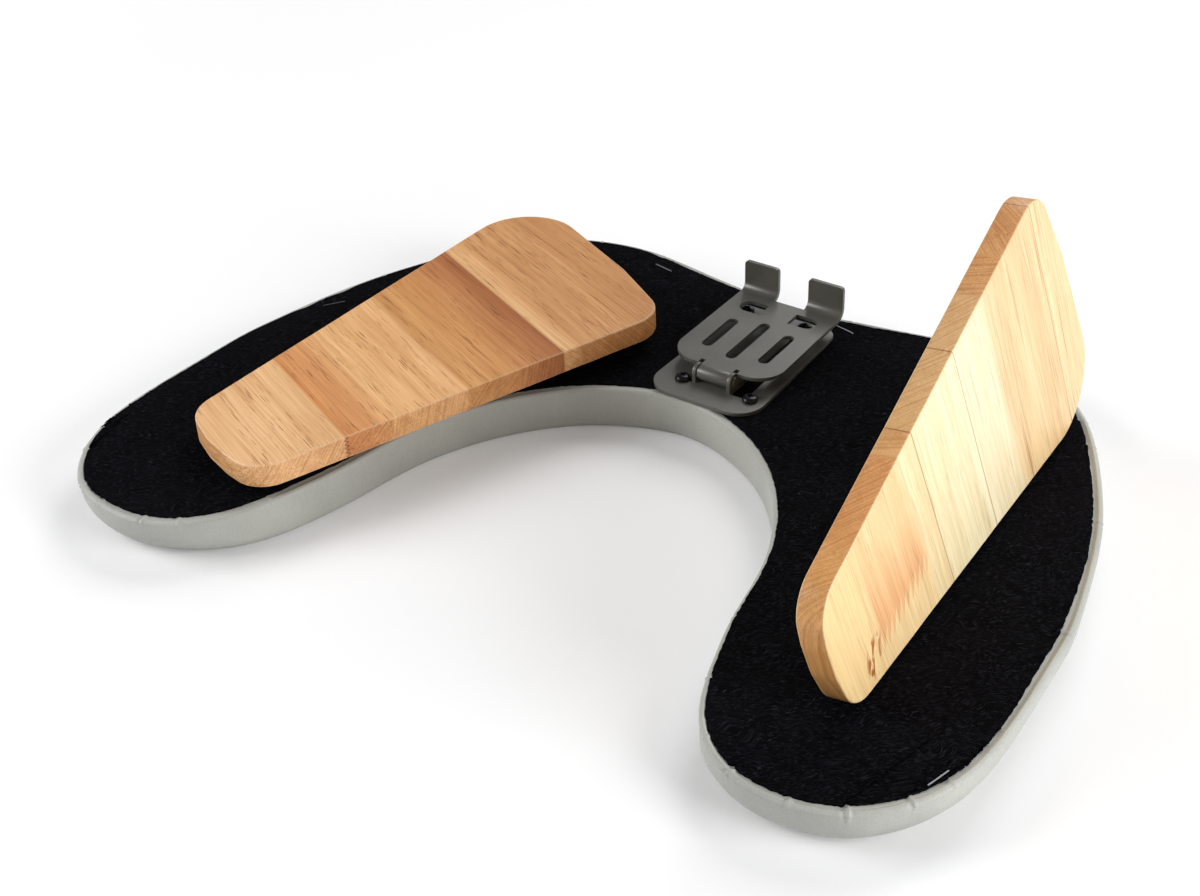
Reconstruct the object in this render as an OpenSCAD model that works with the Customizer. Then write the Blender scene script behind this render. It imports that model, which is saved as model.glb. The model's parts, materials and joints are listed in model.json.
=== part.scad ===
// Horseshoe-shaped padded rest board, shown underside up, with two folding
// wooden leg wings and a tilting device bracket.
// Millimetres, +Z up. The pad lies on the floor at z = 0, the origin is the
// centre of the board's outline and +Y points to the closed bend of the U.

/* [Pad] */
// height of the pad from the floor to the felt
pad_h = 23; // [22:0.5:26]
// plywood core thickness
ply_t = 7; // [5:0.5:8]
// thickness of the leatherette skin
skin_t = 1; // [0.8:0.1:1.4]
// thickness of the felt dust cover
felt_t = 0.8; // [0.5:0.1:1.2]
// how far the skin shows beyond the edge of the felt
reveal = 3; // [2:0.5:5]
// rounding of the lower edge on the outer side of the U
round_out = 18; // [12:0.5:18]
// rounding of the lower edge on the inner side of the U
round_in = 3; // [2.5:0.5:5]
// width of the turned-in flap of the skin, outer side
flap_out = 18; // [14:1:22]
// width of the turned-in flap of the skin, inner side
flap_in = 9; // [7:1:10]

/* [Wings] */
// thickness of the wooden wings
wing_t = 12; // [10:0.5:15]
// reach of a wing from its hinge edge at the front end
wing_front = 65; // [60:1:75]
// reach of a wing from its hinge edge at the back end
wing_back = 141; // [125:1:142]
// opening angle of the left wing, 0 is folded flat
left_open = 1.5; // [0:0.5:90]
// opening angle of the right wing, 0 is folded flat
right_open = 83.5; // [4:0.5:90]

/* [Wing hinges] */
// length of a butt hinge along its pin
hinge_l = 40; // [30:2:50]
// width of a hinge leaf from the pin
leaf_w = 16; // [14:1:20]
// thickness of a hinge leaf
leaf_t = 1; // [0.8:0.1:1]
// diameter of the hinge pin
hinge_pin_d = 1.8; // [1.6:0.1:2]
// position of the front hinge along the wing
hinge_front_at = -60; // [-68:2:-40]
// position of the rear hinge along the wing
hinge_rear_at = 100; // [60:2:110]

/* [Bracket] */
// sheet thickness of both bracket plates
sheet_t = 2; // [1.5:0.1:2]
// distance of the bracket's pin from the board's centre, towards the bend
bracket_y = 67; // [66:0.5:70]
// sideways position of the bracket
bracket_x = 6.7; // [0:0.1:8]
// outer diameter of the rolled barrel
barrel_d = 8; // [7.6:0.1:8]
// diameter of the bracket's pin
bracket_pin_d = 4; // [3:0.1:4]
// height of the two hooks above the plate
hook_h = 16.2; // [12:0.2:20]
// opening angle of the bracket's upper plate, 0 is folded down
bracket_open = 0; // [0:1:120]

/* [Fasteners] */
// shank diameter of the countersunk hinge screws
hinge_screw_d = 2.6; // [2:0.1:3]
// head diameter of the countersunk hinge screws
hinge_head_d = 5; // [4.5:0.1:5.5]
// head diameter of the bracket's pan-head screws
pan_head_d = 8; // [6:0.2:8]
// length of a staple's crown
staple_l = 12; // [10:0.5:13]

/* [Hidden] */
$fn = 72;

// heights of the pad's layers
z_flap = pad_h - felt_t;
z_ply = z_flap - skin_t;
z_foam = z_ply - ply_t;
// slack between the plywood's edge and the inside of the skin
ply_slack = 0.5;
// slack between the foam and the skin
foam_slack = 0.2;

// felt edge on the right half, from the middle of the bend round the arm's
// tip to the middle of the inner edge
half_edge = [[0, 152], [43, 158], [103, 166], [149, 152], [177, 126], [208, 65],
             [225, 6], [231, -38], [231, -114], [206, -156], [163, -165],
             [131, -143], [112, -94], [99, -35], [76, 8], [43, 38], [0, 52]];
half_n = len(half_edge) - 1;
ctrl = concat(half_edge, [for (i = [half_n - 1:-1:1]) [-half_edge[i][0], half_edge[i][1]]]);
ctrl_n = len(ctrl);
// points per stretch between two control points
steps = 5;
edge_n = ctrl_n * steps;

function spline(a, b, c, d, t) =
    0.5 * (2 * b + (c - a) * t + (2 * a - 5 * b + 4 * c - d) * t * t
           + (3 * b - a - 3 * c + d) * t * t * t);
edge_raw = [for (i = [0:ctrl_n - 1], k = [0:steps - 1])
    spline(ctrl[(i + ctrl_n - 1) % ctrl_n], ctrl[i], ctrl[(i + 1) % ctrl_n],
           ctrl[(i + 2) % ctrl_n], k / steps)];
edge_ys = [for (p = edge_raw) p[1]];
edge_mid = (max(edge_ys) + min(edge_ys)) / 2;
edge = [for (p = edge_raw) [p[0], p[1] - edge_mid]];
edge_out = [for (i = [0:edge_n - 1])
    let (d = edge[(i + 1) % edge_n] - edge[(i + edge_n - 1) % edge_n])
    [-d[1], d[0]] / norm(d)];

// 1 on the outer side of the U, 0 on its inner side, blending behind the tips
tip_start = 10.2;
tip_end = 11.8;
function side(i) =
    let (j = i / steps, k = j > half_n ? ctrl_n - j : j,
         s = min(1, max(0, (tip_end - k) / (tip_end - tip_start))))
    s * s * (3 - 2 * s);
edge_side = [for (i = [0:edge_n - 1]) side(i)];
edge_round = [for (s = edge_side) round_in + (round_out - round_in) * s];
edge_flap = [for (s = edge_side) flap_in + (flap_out - flap_in) * s];

// the outline moved in by a list of insets, measured from the skin's outside
function inset_edge(insets) =
    [for (i = [0:edge_n - 1]) edge[i] + (reveal - insets[i]) * edge_out[i]];
function flat_insets(d) = [for (i = [0:edge_n - 1]) d];
function ring(insets, z) = [for (p = inset_edge(insets)) [p[0], p[1], z]];
// inset of the rounded lower edge at height z, for a surface t inside the skin
function curve_insets(z, t) =
    [for (r = edge_round)
        let (q = r - t, s = min(1, max(0, (r - z) / q)))
        t + q * (1 - sqrt(1 - s * s))];

// faces closing a ring that starts at point o: strips of quads across each arm
// of the U, from its outer to its inner side
function cap(n, o) =
    let (h = n / 2)
    [for (b = [0, h], k = [0:h / 2 - 1])
        let (i = o + b + k, j = b + h - k)
        concat([i, i + 1], k < h / 2 - 1 ? [o + j - 1] : [], [o + j % n])];

// a closed solid through a stack of rings
module loft(rings) {
    m = len(rings);
    n = len(rings[0]);
    polyhedron(
        points = [for (r = rings) each r],
        faces = concat(
            [for (f = cap(n, 0)) [for (i = [len(f) - 1:-1:0]) f[i]]],
            [for (k = [0:m - 2], i = [0:n - 1])
                let (j = (i + 1) % n) [k * n + i, k * n + j, (k + 1) * n + j, (k + 1) * n + i]],
            cap(n, (m - 1) * n)));
}

// a polygon with true arcs at its corners, given anticlockwise
module rounded(pts, radii) {
    n = len(pts);
    c = [for (i = [0:n - 1])
        let (a = pts[(i + n - 1) % n] - pts[i], b = pts[(i + 1) % n] - pts[i],
             u = a / norm(a), v = b / norm(b), h = acos(u * v) / 2, w = u + v)
        [pts[i] + u * radii[i] / tan(h), pts[i] + v * radii[i] / tan(h),
         pts[i] + w / norm(w) * radii[i] / sin(h)]];
    polygon([for (i = [0:n - 1]) each radii[i] > 0 ? [c[i][0], c[i][2], c[i][1]] : [pts[i]]]);
    for (i = [0:n - 1]) if (radii[i] > 0) translate(c[i][2]) circle(r = radii[i]);
}

// ---- pad ----

skin_levels = [0, 0.3, 1, 2, 3.5, 6, 9, 13, round_out];
inner_levels = [skin_t, skin_t + 0.3, skin_t + 1, skin_t + 2, 4.5, 7, 10, z_foam];
// small rounding of the skin where it turns onto the plywood's face
turn = 1.6;

module foam_pad() {
    color("#d8cfae") loft([for (z = inner_levels)
        let (c = curve_insets(z, skin_t))
        ring([for (v = c) v + foam_slack], z == skin_t ? z + foam_slack
             : z == z_foam ? z - foam_slack : z)]);
}

module leather_cover() {
    color("#b4b6ad") difference() {
        loft(concat(
            [for (z = skin_levels) ring(curve_insets(z, 0), z)],
            [ring(flat_insets(0), z_flap - turn),
             ring(flat_insets(turn * 0.3), z_flap - turn * 0.3),
             ring(flat_insets(turn), z_flap),
             ring(edge_flap, z_flap),
             ring(edge_flap, z_ply),
             ring(flat_insets(skin_t), z_ply),
             ring(flat_insets(skin_t), round_out)],
            [for (k = [len(inner_levels) - 1:-1:0])
                ring(curve_insets(inner_levels[k], skin_t), inner_levels[k])]));
        bracket_screws();
    }
}

module base_board() {
    color("#c9a877") difference() {
        translate([0, 0, z_foam]) linear_extrude(ply_t)
            polygon(inset_edge(flat_insets(skin_t + ply_slack)));
        hinge_board_screws();
        bracket_screws();
    }
}

// gap between the felt's thick middle and the skin's flap
felt_gap = 0.3;
module felt_backing() {
    color("#16161a") difference() {
        union() {
            translate([0, 0, z_flap]) linear_extrude(felt_t)
                polygon(inset_edge(flat_insets(reveal)));
            translate([0, 0, z_ply]) linear_extrude(skin_t + felt_t / 2)
                polygon(inset_edge([for (f = edge_flap) f + felt_gap]));
        }
        hinge_board_screws();
        bracket_screws();
    }
}

// staples through felt, flap and plywood: centre x, y and crown direction
staple_at = [[224, -125.6, 75], [-210.8, 31.3, 54], [-80.5, 155.5, -11], [35.1, 148.7, -13]];
wire_w = 0.7;
wire_t = 0.5;
staple_leg = 6;
module staples() {
    color("#3a3a3e") for (s = staple_at)
        translate([s[0], s[1], pad_h]) rotate(s[2]) {
            translate([-staple_l / 2, -wire_w / 2, 0]) cube([staple_l, wire_w, wire_t]);
            for (x = [-staple_l / 2, staple_l / 2 - wire_t])
                translate([x, -wire_w / 2, -staple_leg]) cube([wire_t, wire_w, staple_leg + wire_t / 2]);
        }
}

// ---- wing hinges ----
// Pin frame of a wing: origin on the pin, +X inward over the board, +Y along
// the pin to the back, +Z up, wing folded flat.

// height of the pin above the felt and from the pin to the wing's face
pin_h = 1.9;
face_h = 2.2;
// how far the wing's hinge edge stands outboard of the pin
edge_over = 1.6;
knuckle_r = 1.8;
run_gap = 0.05;
knuckle_n = 5;
knuckle_gap = 0.3;
// the leaves start this far from the pin, clear of the other leaf's knuckles
leaf_from = 2.3;
left_pin = [-178.6, 0.5];
left_turn = -2.5;
right_pin = [162.4, -7];
right_turn = -2.2;

module at_left(open = 0)
    translate([left_pin[0], left_pin[1], pad_h + pin_h])
        rotate([0, 0, left_turn]) rotate([0, -open, 0]) children();
module at_right(open = 0)
    mirror([1, 0, 0]) translate([-right_pin[0], right_pin[1], pad_h + pin_h])
        rotate([0, 0, right_turn]) rotate([0, -open, 0]) children();

module pin_cylinder(r, from, to)
    translate([0, from, 0]) rotate([-90, 0, 0]) cylinder(r = r, h = to - from);

// leaf between the heights z0 and z0 + leaf_t, carrying every second knuckle
module leaf(at, z0, first, bore) {
    pitch = hinge_l / knuckle_n;
    difference() {
        union() {
            translate([leaf_from, at - hinge_l / 2, z0]) cube([leaf_w - leaf_from, hinge_l, leaf_t]);
            for (k = [first:2:knuckle_n - 1]) {
                y0 = at - hinge_l / 2 + k * pitch + (k > 0 ? knuckle_gap / 2 : 0);
                y1 = at - hinge_l / 2 + (k + 1) * pitch - (k < knuckle_n - 1 ? knuckle_gap / 2 : 0);
                pin_cylinder(knuckle_r, y0, y1);
                translate([0, y0, z0]) cube([leaf_from + 1, y1 - y0, leaf_t]);
            }
        }
        pin_cylinder(bore, at - hinge_l, at + hinge_l);
        children();
    }
}

// screw places on a leaf, from the pin and along it
leaf_holes = [[11, -14], [7.5, 0], [11, 14]];
screw_l = 8.5;
screw_tip = 2;
module wood_screws(at) for (h = leaf_holes) translate([h[0], at + h[1], 0]) {
    translate([0, 0, -leaf_t]) cylinder(d1 = hinge_screw_d, d2 = hinge_head_d, h = leaf_t);
    translate([0, 0, screw_tip - screw_l]) cylinder(d = hinge_screw_d, h = screw_l - screw_tip - leaf_t / 2);
    translate([0, 0, -screw_l]) cylinder(d1 = hinge_screw_d / 4, d2 = hinge_screw_d, h = screw_tip);
}
module board_screws(at) translate([0, 0, leaf_t - pin_h]) wood_screws(at);
module wing_screws(at) translate([0, 0, face_h - leaf_t]) mirror([0, 0, 1]) wood_screws(at);

module board_leaf(at) color("#b9b4a6")
    leaf(at, -pin_h, 0, hinge_pin_d / 2) board_screws(at);
module wing_leaf(at) color("#b9b4a6")
    leaf(at, face_h - leaf_t, 1, hinge_pin_d / 2 + run_gap) wing_screws(at);
module hinge_pin(at) color("#9a958a")
    pin_cylinder(hinge_pin_d / 2, at - hinge_l / 2 - 0.4, at + hinge_l / 2 + 0.4);
module both_wing_screws() color("#8e8a80") for (at = [hinge_front_at, hinge_rear_at]) wing_screws(at);

module left_front_board_leaf() at_left() board_leaf(hinge_front_at);
module left_rear_board_leaf() at_left() board_leaf(hinge_rear_at);
module right_front_board_leaf() at_right() board_leaf(hinge_front_at);
module right_rear_board_leaf() at_right() board_leaf(hinge_rear_at);
module left_front_pin() at_left() hinge_pin(hinge_front_at);
module left_rear_pin() at_left() hinge_pin(hinge_rear_at);
module right_front_pin() at_right() hinge_pin(hinge_front_at);
module right_rear_pin() at_right() hinge_pin(hinge_rear_at);
module hinge_board_screws() color("#8e8a80") for (at = [hinge_front_at, hinge_rear_at]) {
    at_left() board_screws(at);
    at_right() board_screws(at);
}
module left_front_wing_leaf() at_left(left_open) wing_leaf(hinge_front_at);
module left_rear_wing_leaf() at_left(left_open) wing_leaf(hinge_rear_at);
module left_wing_screws() at_left(left_open) both_wing_screws();
module right_front_wing_leaf() at_right(right_open) wing_leaf(hinge_front_at);
module right_rear_wing_leaf() at_right(right_open) wing_leaf(hinge_rear_at);
module right_wing_screws() at_right(right_open) both_wing_screws();

// ---- wings ----

// ends of the hinge edge and of the free edge, along the hinge
wing_y = [-105, -127, 93, 163.4];
wing_r = [21, 17, 20, 30];
// points that bow the front and back ends out, and the rounding there
front_bow = [[25, -117.3], [42, -122.8]];
back_bow = [95, 120.3];
bow_r = 24;
module wing_panel() color("#cfa06e") difference() {
    translate([-edge_over, 0, face_h]) linear_extrude(wing_t)
        rounded([[0, wing_y[0]], front_bow[0], front_bow[1], [wing_front, wing_y[1]],
                 [wing_back, wing_y[2]], back_bow, [0, wing_y[3]]],
                [wing_r[0], bow_r, bow_r, wing_r[1], wing_r[2], bow_r, wing_r[3]]);
    both_wing_screws();
}
module left_wing() at_left(left_open) wing_panel();
module right_wing() at_right(right_open) wing_panel();

// ---- bracket ----
// Bracket frame: origin on the felt below the pin, +Y to the hooks.

barrel_r = barrel_d / 2;
// room between the barrel and the base plate
barrel_clear = 0.5;
axis_h = sheet_t + barrel_clear + barrel_r;
barrel_l = 17.3;
ear_gap = 0.25;
ear_r = 4.5;
base_y = [-19, 75];
base_w = [31, 28];
base_r = [14, 7];
plate_y = [1.9, 73.2];
plate_w = [30.2, 29.2];
plate_r = 15;
// the plate's upper face lies just under the barrel's top, so they cross
plate_z = barrel_r - sheet_t - 0.05;
screw_at = [[-16.2, -4.3], [22.5, -4.1], [-22.5, 69], [12, 69]];
pan_shank_d = 3.2;
pan_shank_l = 8;
// holes beside the ears, where these were cut free and bent up; the right one
// runs on under the upper plate
window_left = 3.4;
window_right = 9;
window_back = 57;

module at_bracket() translate([bracket_x, bracket_y, pad_h]) children();
module cross_cylinder(r, half) translate([-half, 0, 0]) rotate([0, 90, 0]) cylinder(r = r, h = 2 * half);
module slot(x, y0, y1, w) {
    translate([x - w / 2, y0 + w / 2]) square([w, y1 - y0 - w]);
    for (y = [y0 + w / 2, y1 - w / 2]) translate([x, y]) circle(d = w);
}

module ear(x) translate([x, 0, 0]) rotate([90, 0, 90]) linear_extrude(sheet_t) {
    translate([0, axis_h]) circle(r = ear_r);
    translate([-ear_r, 0]) square([2 * ear_r, axis_h]);
}
module bracket_base() color("#6c6b64") at_bracket() difference() {
    union() {
        difference() {
            linear_extrude(sheet_t)
                rounded([[-base_w[0], base_y[0]], [base_w[0], base_y[0]],
                         [base_w[1], base_y[1]], [-base_w[1], base_y[1]]],
                        [base_r[0], base_r[0], base_r[1], base_r[1]]);
            ear_out = barrel_l / 2 + ear_gap + sheet_t;
            translate([ear_out, -ear_r, -1]) cube([window_right, ear_r + window_back, sheet_t + 2]);
            translate([-ear_out - window_left, -ear_r, -1]) cube([window_left, 2 * ear_r, sheet_t + 2]);
        }
        ear(barrel_l / 2 + ear_gap);
        ear(-barrel_l / 2 - ear_gap - sheet_t);
    }
    translate([0, 0, axis_h]) cross_cylinder(bracket_pin_d / 2, barrel_l);
    for (s = screw_at) translate([s[0], s[1], -1]) cylinder(d = pan_shank_d, h = sheet_t + 2);
}

pin_head = 0.9;
module bracket_pin() color("#57564f") at_bracket() translate([0, 0, axis_h]) {
    half = barrel_l / 2 + ear_gap + sheet_t;
    cross_cylinder(bracket_pin_d / 2, half + pin_head / 2);
    for (x = [-half - pin_head, half])
        translate([x, 0, 0]) rotate([0, 90, 0]) cylinder(d = bracket_pin_d + 1.2, h = pin_head);
}

module bracket_screws() color("#141416") at_bracket() for (s = screw_at)
    translate([s[0], s[1], sheet_t]) {
        rotate_extrude() scale([pan_head_d / 8, 1])
            polygon([[0, 0], [4, 0], [4, 0.8], [3.5, 1.7], [2.4, 2.3], [0, 2.6]]);
        translate([0, 0, -pan_shank_l]) cylinder(d = pan_shank_d, h = pan_shank_l + 0.5);
    }

slot_side_x = 16.4;
slot_w = 6.1;
hook_x = [8.8, 29];
hook_bend = 4.2;
hook_corner = 2;
module hook() {
    w = hook_x[1] - hook_x[0];
    rise = hook_h - hook_bend;
    translate([hook_x[0], plate_y[1], plate_z]) {
        rotate([90, 0, 90]) linear_extrude(w) intersection() {
            translate([0, sheet_t + hook_bend]) difference() {
                circle(r = hook_bend + sheet_t);
                circle(r = hook_bend);
            }
            square(hook_bend + sheet_t);
        }
        translate([0, hook_bend + sheet_t, sheet_t + hook_bend]) rotate([90, 0, 0])
            linear_extrude(sheet_t)
                rounded([[0, 0], [w, 0], [w, rise], [0, rise]], [0, 0, hook_corner, hook_corner]);
    }
}
window_y = 56.7;
window_r = 5.25;
window_x = [8.2, 16.95];
module window_d() {
    translate([window_x[0], window_y]) square([window_x[1] - window_x[0], 2 * window_r]);
    translate([window_x[1], window_y + window_r]) circle(r = window_r);
}
module bracket_plate() color("#6c6b64") at_bracket()
    translate([0, 0, axis_h]) rotate([bracket_open, 0, 0]) difference() {
        union() {
            translate([0, 0, plate_z]) linear_extrude(sheet_t) difference() {
                union() {
                    rounded([[-plate_w[0], plate_y[0]], [plate_w[0], plate_y[0]],
                             [plate_w[1], plate_y[1]], [-plate_w[1], plate_y[1]]],
                            [plate_r, plate_r, 0, 0]);
                    translate([-barrel_l / 2, 0]) square([barrel_l, plate_y[0] + 1]);
                }
                slot(0, 12.5, 51.1, slot_w);
                for (m = [0, 1]) mirror([m, 0]) {
                    slot(slot_side_x, 16.7, 46.8, slot_w);
                    window_d();
                    translate([barrel_l / 2, -1]) square([sheet_t + 2 * ear_gap, ear_r + 1.8]);
                }
            }
            cross_cylinder(barrel_r, barrel_l / 2);
            for (m = [0, 1]) mirror([m, 0, 0]) hook();
        }
        cross_cylinder(bracket_pin_d / 2 + run_gap, barrel_l);
    }

base_board();
foam_pad();
leather_cover();
felt_backing();
staples();
left_front_board_leaf();
left_rear_board_leaf();
right_front_board_leaf();
right_rear_board_leaf();
left_front_pin();
left_rear_pin();
right_front_pin();
right_rear_pin();
hinge_board_screws();
left_wing();
left_front_wing_leaf();
left_rear_wing_leaf();
left_wing_screws();
right_wing();
right_front_wing_leaf();
right_rear_wing_leaf();
right_wing_screws();
bracket_base();
bracket_pin();
bracket_screws();
bracket_plate();
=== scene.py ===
# %% [markdown]
# # A padded rest board with two folding wooden wings
# The object is a horseshoe of plywood with foam under it, wrapped in leatherette and closed on
# top with black felt. Two wings of glued rubberwood fold on butt hinges, and a small painted
# bracket sits on the bend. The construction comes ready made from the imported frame, so this
# file only gives it its finished surfaces: new meshes where the real surface is soft or eased
# by hand, and a material for everything.

# %% Load the fixed frame
import json
import math
import random

import bpy
import numpy as np
from mathutils import Matrix, Vector, noise


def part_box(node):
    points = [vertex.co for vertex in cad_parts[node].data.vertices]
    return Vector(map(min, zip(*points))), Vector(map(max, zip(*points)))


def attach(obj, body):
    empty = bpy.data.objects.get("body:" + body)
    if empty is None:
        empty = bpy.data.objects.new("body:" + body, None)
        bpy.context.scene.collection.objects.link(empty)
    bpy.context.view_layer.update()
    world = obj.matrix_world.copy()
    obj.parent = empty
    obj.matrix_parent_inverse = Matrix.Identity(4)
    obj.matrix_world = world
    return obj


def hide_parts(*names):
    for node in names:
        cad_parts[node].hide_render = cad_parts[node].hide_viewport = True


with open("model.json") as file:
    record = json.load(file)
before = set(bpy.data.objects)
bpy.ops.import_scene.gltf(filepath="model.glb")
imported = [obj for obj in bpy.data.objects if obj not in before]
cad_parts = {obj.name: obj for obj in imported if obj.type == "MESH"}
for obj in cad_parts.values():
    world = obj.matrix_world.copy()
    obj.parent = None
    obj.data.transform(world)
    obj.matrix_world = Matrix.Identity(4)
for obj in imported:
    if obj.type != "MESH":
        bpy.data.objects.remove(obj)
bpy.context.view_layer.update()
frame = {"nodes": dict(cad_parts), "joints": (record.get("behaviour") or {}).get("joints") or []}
MM = 0.001

# %% [markdown]
# ## Camera
# A camera is a place, a turn and a lens. This one stands to the right of the board and above
# it, looking down at the open side of the horseshoe. Its turn is built from three plain turns,
# heading, tilt and a little roll, which is easier to read than a quaternion.

# %% Camera
camera = bpy.data.objects.new("camera", bpy.data.cameras.new("camera"))
bpy.context.scene.collection.objects.link(camera)
camera.data.lens = 60.69
camera.data.sensor_width = 36
stand = (0.44874, -0.65881, 0.56590)
heading, tilt, roll = 0.6158, math.pi / 2 - 0.5976, -0.0365
turn = Matrix.Identity(4)
for angle, axis in ((heading, "Z"), (tilt, "X"), (roll, "Z")):
    turn = turn @ Matrix.Rotation(angle, 4, axis)
camera.matrix_world = Matrix.Translation(stand) @ turn
bpy.context.scene.camera = camera
print("camera at", [round(c, 3) for c in camera.location])

# %% [markdown]
# ## Colours and nodes
# Colours are written as the hex values that a paint chart gives, and Blender's shaders want
# them linear, so one function turns them. Every material is a small graph of nodes: one
# function feeds a node's sockets, and one adds a node, sets it and feeds it.

# %% Helpers for colours and nodes
def linear(hex_value, alpha=1.0):
    """An sRGB hex colour such as #c08a58 as linear RGBA."""
    parts = [int(hex_value[i:i + 2], 16) / 255 for i in (1, 3, 5)]
    return (*[p / 12.92 if p <= 0.04045 else ((p + 0.055) / 1.055) ** 2.4 for p in parts], alpha)


def feed(node, inputs):
    """Set or link a node's inputs, each from a value, a socket or a node's first output."""
    for key, value in inputs.items():
        if isinstance(value, bpy.types.Node):
            value = next(socket for socket in value.outputs if socket.enabled)
        if isinstance(value, bpy.types.NodeSocket):
            node.id_data.links.new(value, node.inputs[key])
        else:
            node.inputs[key].default_value = value
    return node


def set_stops(ramp, places):
    """Give a colour ramp its stops, a list of (place, linear colour)."""
    while len(ramp.elements) > 1:
        ramp.elements.remove(ramp.elements[-1])
    for i, (place, colour) in enumerate(places):
        element = ramp.elements[0] if i == 0 else ramp.elements.new(place)
        element.position = place
        element.color = colour


def add(tree, kind, inputs=None, stops=None, **settings):
    """One new node with its settings, its colour stops if it has any, and its inputs fed."""
    node = tree.nodes.new("ShaderNode" + kind)
    for key, value in settings.items():
        setattr(node, key, value)
    if stops:
        set_stops(node.color_ramp, stops)
    return feed(node, inputs or {})


def new_material(name):
    """A new material, its tree and its Principled shader, already linked to the output."""
    material = bpy.data.materials.new(name)
    material.use_nodes = True
    tree = material.node_tree
    tree.nodes.clear()
    shader = add(tree, "BsdfPrincipled")
    add(tree, "OutputMaterial", {"Surface": shader})
    return material, tree, shader


print("mid grey #808080 is", [round(c, 3) for c in linear("#808080")], "in linear light")

# %% [markdown]
# ## Floor and light
# A studio sweep is a pale floor under large soft lamps. The floor has to look white and still
# hold the object's shadow, so what the camera and mirror rays see is the real, shaded floor
# with a little plain white added, and more of it further out, while the light that the floor
# throws back on the object stays true. One softbox stands on each side and one behind, so the
# shade gathers inside the horseshoe, where the bend and the wings keep all three out.

# %% Floor
WHITE = (1, 1, 1, 1)
SHADED_TO, WHITE_FROM = 0.6, 2.0  # metres from the middle of the floor
FLOOR_HALF = 4.0


def floor_material():
    """Matt pale floor, lifted to white for what is seen directly or in a reflection."""
    material, tree, shader = new_material("studio_floor")
    feed(shader, {"Base Color": linear("#f2f2f3"), "Roughness": 0.9, "Specular IOR Level": 0.0})
    path = add(tree, "LightPath")
    seen = add(tree, "Math", {0: path.outputs["Is Camera Ray"], 1: path.outputs["Is Glossy Ray"]},
               operation="MAXIMUM")
    seen = add(tree, "Math", {0: seen, 1: path.outputs["Is Transmission Ray"]}, operation="MAXIMUM")
    away = add(tree, "VectorMath", {0: add(tree, "TexCoord").outputs["Object"]}, operation="LENGTH")
    fade = add(tree, "MapRange", {0: away.outputs["Value"], 1: SHADED_TO, 2: WHITE_FROM, 3: 0.1, 4: 1.0},
               interpolation_type="SMOOTHSTEP")
    lift = add(tree, "Math", {0: seen, 1: fade}, operation="MULTIPLY")
    white = add(tree, "Emission", {"Color": WHITE, "Strength": lift})
    lifted = add(tree, "AddShader", {0: shader, 1: white})
    feed(tree.nodes["Material Output"], {"Surface": lifted})
    return material


floor_mesh = bpy.data.meshes.new("floor")
corners = [(x * FLOOR_HALF, y * FLOOR_HALF, 0) for x, y in ((-1, -1), (1, -1), (1, 1), (-1, 1))]
floor_mesh.from_pydata(corners, [], [(0, 1, 2, 3)])
floor = bpy.data.objects.new("floor", floor_mesh)
bpy.context.scene.collection.objects.link(floor)
floor_mesh.materials.append(floor_material())
print("floor", 2 * FLOOR_HALF, "m square")

# %% Lamps and sky
SKY_LIGHT = 0.18


def soft_lamp(name, place, target, size, power):
    """A square softbox at a place, turned to a target, in metres and watts."""
    lamp = bpy.data.lights.new(name, "AREA")
    lamp.size = size
    lamp.energy = power
    box = bpy.data.objects.new(name, lamp)
    box.location = place
    box.rotation_euler = (Vector(target) - Vector(place)).to_track_quat("-Z", "Y").to_euler()
    bpy.context.scene.collection.objects.link(box)


def sky():
    """Even white surroundings: dim as a light, plain white where they are seen."""
    world = bpy.data.worlds.new("studio")
    world.use_nodes = True
    tree = world.node_tree
    tree.nodes.clear()
    path = add(tree, "LightPath")
    seen = add(tree, "Math", {0: path.outputs["Is Camera Ray"], 1: path.outputs["Is Transmission Ray"]},
               operation="MAXIMUM")
    strength = add(tree, "MapRange", {0: seen, 3: SKY_LIGHT, 4: 1.0})
    light = add(tree, "Background", {"Color": WHITE, "Strength": strength})
    add(tree, "OutputWorld", {"Surface": light})
    bpy.context.scene.world = world


board_middle = (0, 0, 0.05)
soft_lamp("right_lamp", (1.45, -0.05, 0.58), board_middle, 0.9, 21)
soft_lamp("left_lamp", (-1.2, -0.8, 0.75), board_middle, 0.9, 18)
soft_lamp("back_lamp", (-0.1, 1.4, 1.3), board_middle, 1.1, 17)
sky()
bpy.context.scene.view_settings.view_transform = "Standard"

# %% [markdown]
# ## The board's outline
# The skin, the foam and the felt all follow one line, the edge of the felt. It is read from the
# frame: the flat top of the felt is a fan of triangles, and an edge that only one of them uses
# is part of the outline. The points are few, so a smooth curve is passed through them to get
# the close spacing that folds and a ragged edge need.

# %% Read an outline from a flat face
def face_outline(node, to_local=Matrix.Identity(4)):
    """The longest loop of edges round the highest flat face of a CAD node, in a local frame."""
    mesh = frame["nodes"][node].data
    key = [tuple(v.co) for v in mesh.vertices]
    local = {k: to_local @ Vector(k) for k in key}
    top = max(p.z for p in local.values())
    edges = set()
    for face in mesh.polygons:
        corners = [key[i] for i in face.vertices]
        if min(local[c].z for c in corners) < top - 0.01 * MM:
            continue
        for a, b in zip(corners, corners[1:] + corners[:1]):
            if (b, a) in edges:
                edges.remove((b, a))
            else:
                edges.add((a, b))
    following = dict(edges)
    loops = []
    while following:
        start, here = following.popitem()
        loop = [start]
        while here != start:
            loop.append(here)
            here = following.pop(here)
        loops.append(loop)
    return np.array([local[c] for c in max(loops, key=len)])


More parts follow.
